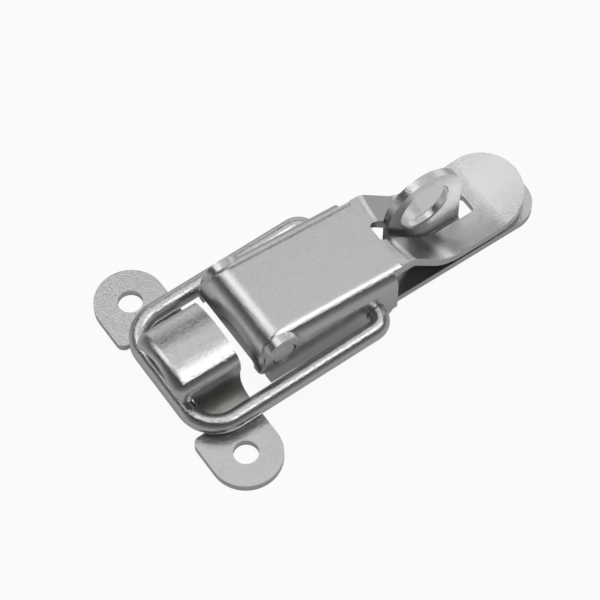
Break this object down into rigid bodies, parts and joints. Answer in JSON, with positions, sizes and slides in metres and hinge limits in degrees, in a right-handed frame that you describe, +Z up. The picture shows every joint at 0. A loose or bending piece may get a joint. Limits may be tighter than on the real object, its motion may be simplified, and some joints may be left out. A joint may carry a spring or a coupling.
{
  "type": "over centre toggle latch",
  "caption": "Pressed steel over centre toggle latch with a wire bail, a hooked keeper and a padlock eye standing through a slot in its finger tab.",
  "frame": {"origin": "on the mounting plane, straight below the lever's pivot axis", "axes": "+X along the latch from the keeper to the finger tab, +Z up from the mounting plane"},
  "size_m": [0.0783, 0.0492, 0.0201],
  "materials": {
    "zinc_sheet": "bright zinc plated",
    "zinc_wire": "bright zinc plated",
    "zinc_pin": "bright zinc plated"
  },
  "bodies": {
    "base": {"base_plate": "zinc_sheet", "pivot_pin": "zinc_pin"},
    "lever": {"lever": "zinc_sheet"},
    "bail": {"bail": "zinc_wire", "keeper": "zinc_sheet"}
  },
  "joints": [
    {"name": "lever_hinge", "type": "hinge", "parent": "base", "child": "lever", "pos_m": [0, 0, 0.0097], "axis": [0, -1, 0], "range_deg": [0, 80]},
    {"name": "bail_hinge", "type": "hinge", "parent": "lever", "child": "bail", "pos_m": [0.0192, 0, 0.005], "axis": [0, -1, 0], "range_deg": [-80, 0]}
  ],
  "couplings": [
    {"joint": "bail_hinge", "follows": "lever_hinge", "ratio": -1}
  ]
}
